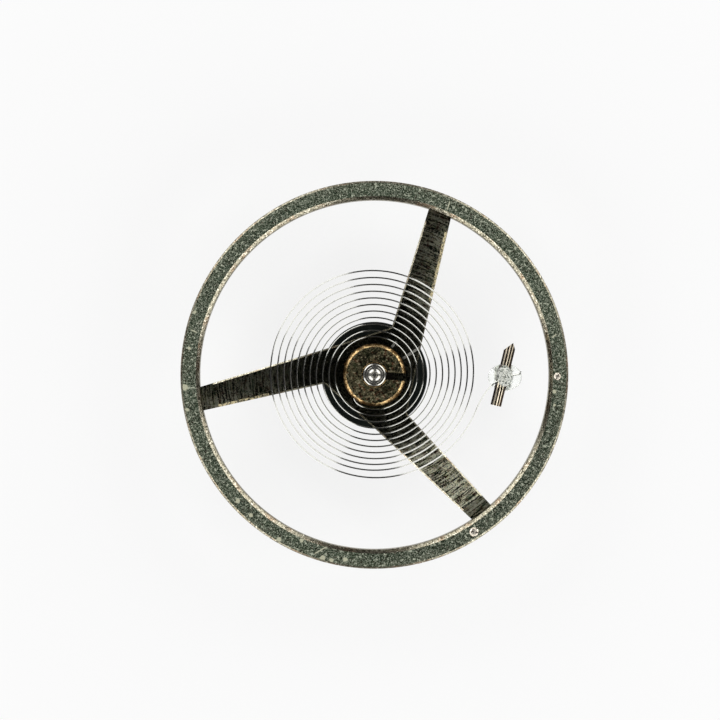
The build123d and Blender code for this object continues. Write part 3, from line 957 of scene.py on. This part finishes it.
# Staff: sizes below and above the wheel
flare_length = 0.18 * mm
lower_flare_radius = 0.14 * mm
flare_points = 10
roller_seat_radius = 0.21 * mm
flange_radius = 0.6 * mm
rivet_lip_radius = 0.48 * mm
rivet_lip_height = 0.04 * mm
collet_seat_radius = 0.295 * mm
collet_seat_bevel_drop = 0.03 * mm
collet_seat_bevel_run = 0.036 * mm
collet_seat_above_collet = 0.04 * mm
upper_arbor_radius = 0.21 * mm
staff_steps = 128


def flare(pivot_radius, pivot_end, wide_radius, wide_end):
    """Radii and heights of a trumpet-shaped flare from the pivot, without the pivot's own point."""
    start = Vector((pivot_radius, pivot_end, 0))
    end = Vector((wide_radius, wide_end, 0))
    way = Vector((0, 1 if wide_end > pivot_end else -1, 0))
    return [(point.x, point.y) for point in arc_points(start, way, end, flare_points)]


def build_staff(looks):
    """Staff turned from one rod of steel."""
    arm_bottom, arm_top = arm_heights(bpy.context.scene.wheel_looks)
    rivet_top = arm_top + rivet_lip_height
    seat_top = collet_high.z + collet_seat_above_collet
    pivot = looks.pivot_radius
    lower_end = looks.pivot_length
    upper_end = staff_high.z - looks.pivot_length
    profile = [
        (0, 0),
        (pivot, 0),
        (pivot, lower_end),
        *flare(pivot, lower_end, lower_flare_radius, lower_end + flare_length),
        (roller_seat_radius, roller_low.z),
        (roller_seat_radius, roller_high.z),
        (flange_radius, roller_high.z),
        (flange_radius, arm_bottom),
        (wheel_seat_radius, arm_bottom),
        (wheel_seat_radius, arm_top),
        (rivet_lip_radius, arm_top),
        (rivet_lip_radius, rivet_top),
        (collet_seat_radius, rivet_top),
        (collet_seat_radius, seat_top - collet_seat_bevel_drop),
        (collet_seat_radius - collet_seat_bevel_run, seat_top),
        (upper_arbor_radius, seat_top),
        *reversed(flare(pivot, upper_end, upper_arbor_radius, upper_end - flare_length)),
        (pivot, upper_end),
        (pivot, staff_high.z),
        (0, staff_high.z),
    ]
    bm = turned(profile, staff_steps)
    soften(bm, edge_break)
    # The lip under the collet takes the steel with painted shade.
    for face in bm.faces:
        if arm_top - edge_break < face.calc_center_median().z < rivet_top + edge_break:
            face.material_index = 1
    staff = piece_from(bm, "balance_staff_finished", [burnished_steel(looks), slot_shaded_steel(looks)])
    dress(staff, "balance", ["balance_staff"])


# Double roller: sizes that its box doesn't give
table_edge_round = 0.02 * mm
safety_edge_round = 0.012 * mm
jewel_edge_round = 0.008 * mm
passing_hollow_radius = 0.17 * mm
passing_hollow_distance = 0.64 * mm
jewel_centre = (shellac_low + shellac_high) / 2 * Vector((1, 1, 0))
jewel_angle = degrees(atan2(jewel_centre.y, jewel_centre.x))
jewel_radius = 0.11 * mm
jewel_flat_distance = 0.04 * mm
jewel_hole_clearance = 0.01 * mm
shellac_rings = 8
shellac_steps = 48


def d_rod(clearance, low, high):
    """Bmesh of the jewel's D section as a rod between two heights."""
    outwards = heading(jewel_angle)
    bm = rod(jewel_radius + clearance, jewel_centre + up * low, up, high - low)
    slice_off(bm, jewel_centre + outwards * (jewel_flat_distance + clearance), outwards)
    return bm


def build_rollers(looks):
    """Impulse roller with the hole for the jewel, and the safety roller with its passing hollow."""
    bronze = lapped_bronze(looks)
    radius = half_width(roller_low, roller_high)
    thickness = looks.table_thickness
    low = roller_low.z
    high = roller_high.z
    profile = [
        (roller_seat_radius, low),
        (looks.tube_radius, low),
        (looks.tube_radius, high - thickness),
        (radius, high - thickness),
        (radius, high),
        (roller_seat_radius, high),
    ]
    table = turned(profile, disc_steps, closed=True)
    soften(table, table_edge_round)
    roller = piece_from(table, "impulse_roller_finished", [bronze])
    combine(roller, d_rod(jewel_hole_clearance, high - 2 * thickness, high + thickness), [bronze])
    dress(roller, "balance", ["impulse_roller"])
    safety = ring(looks.tube_radius, safety_high.y, safety_low.z, safety_high.z, staff_steps)
    soften(safety, safety_edge_round)
    disc = piece_from(safety, "safety_roller_finished", [bronze])
    height = safety_high.z - safety_low.z
    base = polar(passing_hollow_distance, jewel_angle) + up * (safety_low.z - height)
    combine(disc, rod(passing_hollow_radius, base, up, 3 * height), [bronze])
    dress(disc, "balance", ["safety_roller"])


def build_jewel(looks):
    """Impulse jewel and the shellac that holds it."""
    bm = d_rod(0, jewel_low.z, jewel_high.z)
    soften(bm, jewel_edge_round)
    jewel = piece_from(bm, "impulse_jewel_finished", [synthetic_ruby(looks)])
    dress(jewel, "balance", ["impulse_jewel"])
    radius = half_width(shellac_low, shellac_high)
    low = shellac_low.z
    height = shellac_high.z - low
    angles = [step / shellac_rings * pi / 2 for step in range(shellac_rings + 1)]
    dome = [(radius * cos(angle), low + height * sin(angle)) for angle in angles]
    drop = turned([(0, low), *dome], shellac_steps)
    bmesh.ops.translate(drop, vec=jewel_centre, verts=drop.verts)
    shellac = piece_from(drop, "jewel_shellac_finished", [melted_shellac(looks)])
    dress(shellac, "balance", ["jewel_shellac"])


# Collet: places of its slot and of the strip in its cross hole
collet_under_bevel = 0.03 * mm
collet_bore_bevel = 0.03 * mm
collet_slot_angle = -4.5
strip_height = spring_high.z - spring_low.z
cross_hole_radius = strip_height / 2 + 0.015 * mm
strip_inside_collet = 0.125 * mm
strip_in_collet_angle = 230.0
strip_in_collet_length = 0.7 * mm
strip_clearance = 0.002 * mm
collet_pin_protrusion = 0.05 * mm
collet_pin_inset = 0.03 * mm
collet_pin_round = 0.01 * mm
collet_radius = 0.805 * mm
strip_distance = collet_radius - strip_inside_collet
strip_foot_angle = strip_in_collet_angle - degrees(acos(strip_distance / collet_radius))
inner_way = heading(strip_foot_angle + 90)


def cross_hole(strip_thickness):
    """Distance from the strip's middle back to the cross hole's middle, and the hole's half length."""
    lean = sqrt(cross_hole_radius**2 - (strip_height / 2) ** 2) - strip_thickness / 2 - strip_clearance
    return lean, sqrt(collet_radius**2 - (strip_distance - lean) ** 2)


def build_collet(looks):
    """Split collet, and the pin that wedges the spring in it."""
    face = turned_brass(looks)
    gilt = polished_brass(looks)
    low = collet_low.z
    high = collet_high.z
    profile = [
        (collet_seat_radius, low),
        (collet_radius - collet_under_bevel, low),
        (collet_radius, low + collet_under_bevel),
        (collet_radius, high - looks.top_bevel),
        (collet_radius - looks.top_bevel, high),
        (collet_seat_radius + collet_bore_bevel, high),
        (collet_seat_radius, high - collet_bore_bevel),
    ]
    bm = turned(profile, disc_steps, closed=True)
    soften(bm, edge_break)
    paint_tilted(bm, bevel_tilts, 1)
    collet = piece_from(bm, "collet_finished", [face, gilt])
    slot = bmesh.new()
    bmesh.ops.create_cube(slot, size=1)
    bmesh.ops.scale(slot, vec=(collet_radius * 2, looks.slot_width, (high - low) * 2), verts=slot.verts)
    bmesh.ops.translate(slot, vec=(collet_radius, 0, spring_height), verts=slot.verts)
    turn = Matrix.Rotation(radians(collet_slot_angle), 3, up)
    bmesh.ops.rotate(slot, cent=(0, 0, 0), matrix=turn, verts=slot.verts)
    combine(collet, slot, [face])
    thickness = bpy.context.scene.spring_looks.thickness
    lean, half = cross_hole(thickness)
    foot = polar(strip_distance - lean, strip_foot_angle) + up * spring_height
    combine(collet, rod(cross_hole_radius, foot - inner_way * 2 * half, inner_way, 4 * half), [face])
    dress(collet, "balance", ["collet"])
    pin_start = foot - inner_way * (half + collet_pin_protrusion)
    pin_length = 2 * half + collet_pin_protrusion - collet_pin_inset
    pin_bm = rod(cross_hole_radius, pin_start, inner_way, pin_length)
    flat_way = heading(strip_foot_angle)
    slice_off(pin_bm, foot + flat_way * (lean - thickness / 2), flat_way)
    soften(pin_bm, collet_pin_round)
    pin = piece_from(pin_bm, "collet_pin_finished", [gilt])
    dress(pin, "balance", ["collet_pin"])


# Hairspring: the law of its spiral
strip_to_coil_angle = 20.0
coil_inside_collet = 0.038 * mm
coil_pitch = 0.1628 * mm
coil_count = 11
coil_end_angle = 341.3
coil_drift = 0.09 * mm
coil_drift_angle = 112.0
coil_shift = 0.012 * mm
coil_shift_angle = 47.0
coil_opening = 0.105 * mm
coil_opening_turns = 0.6
turn_step = 1e-4
points_per_turn = 120
arc_point_count = 14
edge_crown_share = 0.46
coil_start_turn = (strip_in_collet_angle + strip_to_coil_angle) / 360
coil_end_turn = coil_count + coil_end_angle / 360

# Stud and the strip's tail beyond it
stud_beyond_coils = 0.522 * mm
stud_place_angle = -1.75
stud_angle = 76.2
stud_length_below = 0.71 * mm
stud_length_above = 0.956 * mm
stud_point_inset = 0.091 * mm
stud_left_slope = 50.4
stud_right_slope = 60.0
stud_flat_tilt = 30.0
stud_edge_round = 0.005 * mm
strip_at_stud_angle = 22.0
tail_bend_radius = 1.68 * mm
tail_bend = 13.8
tail_hook_radius = 0.1 * mm
tail_hook = 75.0


def coil_radius(turn):
    """Distance from the staff at a turn: even pitch, a shift and a drift off centre, and a wide last turn."""
    drift = coil_drift * (turn / coil_end_turn) ** 3 * cos(radians(360 * turn - coil_drift_angle))
    last_turns = max(0, turn - coil_end_turn + coil_opening_turns) / coil_opening_turns
    shift = coil_shift * cos(radians(360 * turn - coil_shift_angle))
    base = collet_radius - coil_inside_collet
    return base + coil_pitch * turn + shift + drift + coil_opening * last_turns**2


def coil_point(turn):
    """Point on the middle of the strip at a turn."""
    return polar(coil_radius(turn), 360 * turn)


def coil_way(turn):
    """Direction of the strip at a turn."""
    return (coil_point(turn + turn_step) - coil_point(turn - turn_step)).normalized()


def tangent_arcs(start, start_way, end, end_way):
    """Points of two arcs that join two points, tangent to the given directions and to each other."""
    across = end - start
    ways = start_way + end_way
    slack = 2 * (1 - start_way.dot(end_way))
    reach = (sqrt(across.dot(ways) ** 2 + slack * across.dot(across)) - across.dot(ways)) / slack
    joint = (start + start_way * reach + end - end_way * reach) / 2
    bend = 2 * start_way.angle(joint - start)
    turning = 1 if start_way.cross(joint - start).z > 0 else -1
    joint_way = Matrix.Rotation(turning * bend, 3, up) @ start_way
    first = arc_points(start, start_way, joint, arc_point_count)
    return first + arc_points(joint, joint_way, end, arc_point_count)


def bend_from(start, way, radius, angle):
    """Points of an arc that leaves a point along a direction and turns by an angle, and its end direction."""
    side = up.cross(way) * (radius if angle > 0 else -radius)
    turn = Matrix.Rotation(radians(angle), 3, up)
    return arc_points(start, way, start + side - turn @ side, arc_point_count), turn @ way


stud_point = polar(coil_radius(coil_end_turn) + stud_beyond_coils, stud_place_angle)


def strip_route():
    """Points along the strip from its inner end to its hook, and the numbers of the exit's and the stud's."""
    exit_point = polar(collet_radius, strip_in_collet_angle)
    points = [exit_point - inner_way * strip_in_collet_length, exit_point]
    at_exit = len(points) - 1
    points += tangent_arcs(exit_point, inner_way, coil_point(coil_start_turn), coil_way(coil_start_turn))
    turns = coil_end_turn - coil_start_turn
    steps = round(turns * points_per_turn)
    points += [coil_point(coil_start_turn + turns * step / steps) for step in range(1, steps + 1)]
    stud_way_in = heading(strip_at_stud_angle)
    points += tangent_arcs(coil_point(coil_end_turn), coil_way(coil_end_turn), stud_point, stud_way_in)
    at_stud = len(points) - 1
    tail, tail_way = bend_from(stud_point, stud_way_in, tail_bend_radius, -tail_bend)
    hook = bend_from(tail[-1], tail_way, tail_hook_radius, tail_hook)[0]
    return points + tail + hook, at_exit, at_stud


def strip_section(looks):
    """Bmesh of the strip's section: a flat strip with a slight crown on both edges."""
    bm = bmesh.new()
    bmesh.ops.create_grid(bm, x_segments=1, y_segments=1, size=0.5)
    bevel(bm, bm.verts[:], edge_crown_share, affect="VERTICES")
    height = looks.edge_crown / edge_crown_share
    bmesh.ops.scale(bm, vec=(looks.thickness, height, 1), verts=bm.verts)
    for corner in bm.verts:
        corner.co.y += (strip_height / 2 - height / 2) * (1 if corner.co.y > 0 else -1)
    return bm


def build_hairspring(looks):
    """Hairspring: the strip's section drawn along its route on edge."""
    points, at_exit, at_stud = strip_route()
    steps = [after - before for before, after in zip(points, points[1:])]
    lengths = [0.0]
    for step in steps:
        lengths.append(lengths[-1] + step.length)
    ways = [step.normalized() for step in steps]
    turns = [atan2(way.y, way.x) for way in ways]
    bends = [atan2(sin(after - before), cos(after - before)) for before, after in zip(turns, turns[1:])]
    turns = [turns[0], *(turn + bend / 2 for turn, bend in zip(turns, bends)), turns[-1]]
    upright = Matrix.Rotation(radians(90), 4, "X")

    def stand(number):
        """Place of the section at a point, across the strip's direction there."""
        turn = Matrix.Rotation(turns[number] - radians(90), 4, up)
        return Matrix.Translation(points[number] + up * spring_height) @ turn @ upright

    bm = strip_section(looks)
    along = bm.verts.layers.float.new("along")
    bmesh.ops.transform(bm, matrix=stand(0), verts=bm.verts)
    edges = bm.edges[:]
    for number in range(1, len(points)):
        drawn = bmesh.ops.extrude_edge_only(bm, edges=edges)["geom"]
        corners = [item for item in drawn if isinstance(item, bmesh.types.BMVert)]
        edges = [item for item in drawn if isinstance(item, bmesh.types.BMEdge)]
        bmesh.ops.transform(bm, matrix=stand(number) @ stand(number - 1).inverted(), verts=corners)
        for corner in corners:
            corner[along] = lengths[number]
    bmesh.ops.contextual_create(bm, geom=edges)
    strip = piece_from(bm, "hairspring_finished", [rolled_spring_alloy(looks)], sharper_than=30)
    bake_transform(strip)
    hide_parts("hairspring")
    # Each point's distance along the strip, read back from the mesh.
    runs = [0.0] * len(strip.data.vertices)
    strip.data.attributes["along"].data.foreach_get("value", runs)


def build_stud(looks):
    """Stud: a gilt pin with a two-sided point, a narrow flat and the hole for the strip."""
    gilt = drawn_gilt_brass(looks)
    way = heading(stud_angle)
    side = heading(stud_angle + 90)
    centre = stud_point + up * spring_height
    full_length = stud_length_below + stud_length_above + looks.radius
    bm = rod(looks.radius, centre - way * stud_length_below, way, full_length, segments=64)
    tip = centre + way * stud_length_above - side * (looks.radius - stud_point_inset)
    for slope in (stud_left_slope, -stud_right_slope):
        slice_off(bm, tip, heading(stud_angle + slope))
    flat_way = side * cos(radians(stud_flat_tilt)) + up * sin(radians(stud_flat_tilt))
    slice_off(bm, centre + flat_way * (looks.radius - looks.flat_depth), flat_way)
    soften(bm, stud_edge_round)
    stud = piece_from(bm, "stud_finished", [gilt])
    through = heading(strip_at_stud_angle)
    hole = rod(cross_hole_radius, centre - through * looks.radius * 2, through, looks.radius * 4)
    combine(stud, hole, [gilt])
    dress(stud, "stud_assembly", ["stud"])


# Bead of resin: an oval drop, turned about its long axis
bead_end_centre = 0.137 * mm
bead_half_width = 0.345 * mm
bead_end_narrowing = 0.045 * mm
bead_arc_points = 16
bead_steps = 72


def build_bead(looks):
    """Bead of clear resin round the stud and the strip."""
    end_radius = bead_half_width - bead_end_narrowing
    side_radius = (bead_end_centre**2 + bead_half_width**2 - end_radius**2) / (2 * bead_end_narrowing)
    joint_x = bead_end_centre * side_radius / (side_radius - end_radius)
    joint = Vector((joint_x, sqrt(end_radius**2 - (joint_x - bead_end_centre) ** 2), 0))
    right = Vector((bead_end_centre + end_radius, 0, 0))
    top = Vector((0, bead_half_width, 0))
    quarter = [right] + arc_points(right, Vector((0, 1, 0)), joint, bead_arc_points)
    quarter += arc_points(top, Vector((1, 0, 0)), joint, bead_arc_points)[::-1][1:] + [top]
    outline = [(point.y, point.x) for point in quarter] + [(point.y, -point.x) for point in quarter[-2::-1]]
    bm = turned(outline, bead_steps)
    bmesh.ops.rotate(bm, cent=(0, 0, 0), matrix=Matrix.Rotation(radians(90), 3, "Y"), verts=bm.verts)
    bmesh.ops.translate(bm, vec=(bead_low + bead_high) / 2, verts=bm.verts)
    bead = piece_from(bm, "stud_bead_finished", [clear_resin(looks)])
    dress(bead, "stud_assembly", ["stud_bead"])


# Studio: four soft boxes on the diagonals, and a camera straight above
lamps = [
    # where it stands round the object, half the angle that it fills
    (40.5, 23.5),
    (130.0, 24.0),
    (222.0, 24.0),
    (316.0, 28.5),
]
lamp_elevation = 22.0
lamp_distance = 50 * mm
dim_air = 0.07
camera_lens = 200.0
sensor_width = 36.0
view_centre = Vector((-0.371 * mm, 0.381 * mm, 0))
table_half_width = 400 * mm
table_gap = 0.02 * mm


def set_world():
    """Air that is white to the eye and through resin, but dim to metal and table, which the lamps light."""
    world = bpy.data.worlds.new("studio_air")
    bpy.context.scene.world = world
    world.use_nodes = True
    tree = world.node_tree
    tree.nodes.clear()
    light_path = add(tree, "LightPath")
    seen = widest(tree, [light_path.outputs["Is Camera Ray"], light_path.outputs["Is Transmission Ray"]])
    level = add(tree, "MapRange", {"Value": seen, "To Min": dim_air, "To Max": 1.0})
    air = add(tree, "Background", {"Color": (1.0, 1.0, 1.0), "Strength": level})
    add(tree, "OutputWorld", {"Surface": air})


def set_lamps(looks):
    """Soft boxes round the object, low enough to light bevels and the strip's edges."""
    for angle, half_angle in lamps:
        lamp = bpy.data.lights.new("soft_box", "AREA")
        lamp.shape = "RECTANGLE"
        lamp.size = 2 * lamp_distance * tan(radians(half_angle))
        lamp.size_y = looks.lamp_height
        lamp.energy = looks.lamp_radiance * pi * lamp.size * lamp.size_y
        place = heading(angle) * cos(radians(lamp_elevation)) + up * sin(radians(lamp_elevation))
        holder = bpy.data.objects.new("soft_box", lamp)
        holder.location = place * lamp_distance
        holder.rotation_euler = place.to_track_quat("Z", "Y").to_euler()
        holder.visible_camera = False
        bpy.context.scene.collection.objects.link(holder)


def set_table(looks):
    """Wide pale table just under the lower pivot."""
    bm = bmesh.new()
    bmesh.ops.create_grid(bm, x_segments=8, y_segments=8, size=table_half_width)
    bmesh.ops.translate(bm, vec=-up * table_gap, verts=bm.verts)
    table = piece_from(bm, "pale_table", [pale_table(looks)])


def set_camera(looks):
    """Camera that looks straight down, as the photograph does."""
    camera = bpy.data.cameras.new("straight_down")
    camera.lens = camera_lens
    camera.sensor_width = sensor_width
    camera.clip_start = 1 * mm
    camera.clip_end = 10
    holder = bpy.data.objects.new("straight_down", camera)
    height = looks.view_width * camera_lens / sensor_width
    holder.location = view_centre + up * (wheel_high.z + height)
    bpy.context.scene.collection.objects.link(holder)
    bpy.context.scene.camera = holder


# Operators: one for each piece or group of like pieces, and one for the stage
class BALANCE_OT_wheel(bpy.types.Operator):
    """Model and finish the balance wheel"""

    bl_idname = "balance.wheel"
    bl_label = "Balance wheel"

    def execute(self, context):
        build_wheel(context.scene.wheel_looks)
        return {"FINISHED"}


class BALANCE_OT_staff(bpy.types.Operator):
    """Model and finish the balance staff"""

    bl_idname = "balance.staff"
    bl_label = "Balance staff"

    def execute(self, context):
        build_staff(context.scene.staff_looks)
        return {"FINISHED"}


class BALANCE_OT_rollers(bpy.types.Operator):
    """Model and finish the impulse roller and the safety roller"""

    bl_idname = "balance.rollers"
    bl_label = "Double roller"

    def execute(self, context):
        build_rollers(context.scene.roller_looks)
        return {"FINISHED"}


class BALANCE_OT_jewel(bpy.types.Operator):
    """Model and finish the impulse jewel and its shellac"""

    bl_idname = "balance.jewel"
    bl_label = "Impulse jewel"

    def execute(self, context):
        build_jewel(context.scene.roller_looks)
        return {"FINISHED"}


class BALANCE_OT_collet(bpy.types.Operator):
    """Model and finish the split collet and its pin"""

    bl_idname = "balance.collet"
    bl_label = "Collet"

    def execute(self, context):
        build_collet(context.scene.collet_looks)
        return {"FINISHED"}


class BALANCE_OT_hairspring(bpy.types.Operator):
    """Model and finish the hairspring"""

    bl_idname = "balance.hairspring"
    bl_label = "Hairspring"

    def execute(self, context):
        build_hairspring(context.scene.spring_looks)
        return {"FINISHED"}


class BALANCE_OT_stud(bpy.types.Operator):
    """Model and finish the stud"""

    bl_idname = "balance.stud"
    bl_label = "Stud"

    def execute(self, context):
        build_stud(context.scene.stud_looks)
        return {"FINISHED"}


class BALANCE_OT_bead(bpy.types.Operator):
    """Model and finish the bead of clear resin"""

    bl_idname = "balance.bead"
    bl_label = "Resin bead"

    def execute(self, context):
        build_bead(context.scene.stud_looks)
        return {"FINISHED"}


class BALANCE_OT_stage(bpy.types.Operator):
    """Set the pale table, the soft boxes and the camera"""

    bl_idname = "balance.stage"
    bl_label = "Stage"

    def execute(self, context):
        looks = context.scene.stage_looks
        set_world()
        set_lamps(looks)
        set_table(looks)
        set_camera(looks)
        context.scene.view_settings.view_transform = "Standard"
        return {"FINISHED"}


class BALANCE_PT_sidebar(bpy.types.Panel):
    """Sidebar that lists the pieces and their looks"""

    bl_idname = "BALANCE_PT_sidebar"
    bl_label = "Watch balance"
    bl_space_type = "VIEW_3D"
    bl_region_type = "UI"
    bl_category = "Balance"

    def draw(self, context):
        for operator in operators:
            self.layout.operator(operator.bl_idname)
        for name in looks_groups:
            box = self.layout.box()
            group = getattr(context.scene, name)
            for key in group.bl_rna.properties.keys():
                if key not in ("rna_type", "name"):
                    box.prop(group, key)


operators = (
    BALANCE_OT_wheel,
    BALANCE_OT_staff,
    BALANCE_OT_rollers,
    BALANCE_OT_jewel,
    BALANCE_OT_collet,
    BALANCE_OT_hairspring,
    BALANCE_OT_stud,
    BALANCE_OT_bead,
    BALANCE_OT_stage,
)
looks_groups = {
    "wheel_looks": WheelLooks,
    "staff_looks": StaffLooks,
    "roller_looks": RollerLooks,
    "collet_looks": ColletLooks,
    "spring_looks": SpringLooks,
    "stud_looks": StudLooks,
    "stage_looks": StageLooks,
}


def register():
    """Registers the property groups, the operators and the panel."""
    for name, group in looks_groups.items():
        bpy.utils.register_class(group)
        setattr(bpy.types.Scene, name, bpy.props.PointerProperty(type=group))
    for operator in operators:
        bpy.utils.register_class(operator)
    bpy.utils.register_class(BALANCE_PT_sidebar)


def unregister():
    """Takes back what register added."""
    bpy.utils.unregister_class(BALANCE_PT_sidebar)
    for operator in reversed(operators):
        bpy.utils.unregister_class(operator)
    for name, group in looks_groups.items():
        delattr(bpy.types.Scene, name)
        bpy.utils.unregister_class(group)


def main():
    """Builds every piece and the stage."""
    register()
    bpy.ops.balance.wheel()
    bpy.ops.balance.staff()
    bpy.ops.balance.rollers()
    bpy.ops.balance.jewel()
    bpy.ops.balance.collet()
    bpy.ops.balance.hairspring()
    bpy.ops.balance.stud()
    bpy.ops.balance.bead()
    bpy.ops.balance.stage()


if __name__ == "__main__":
    main()
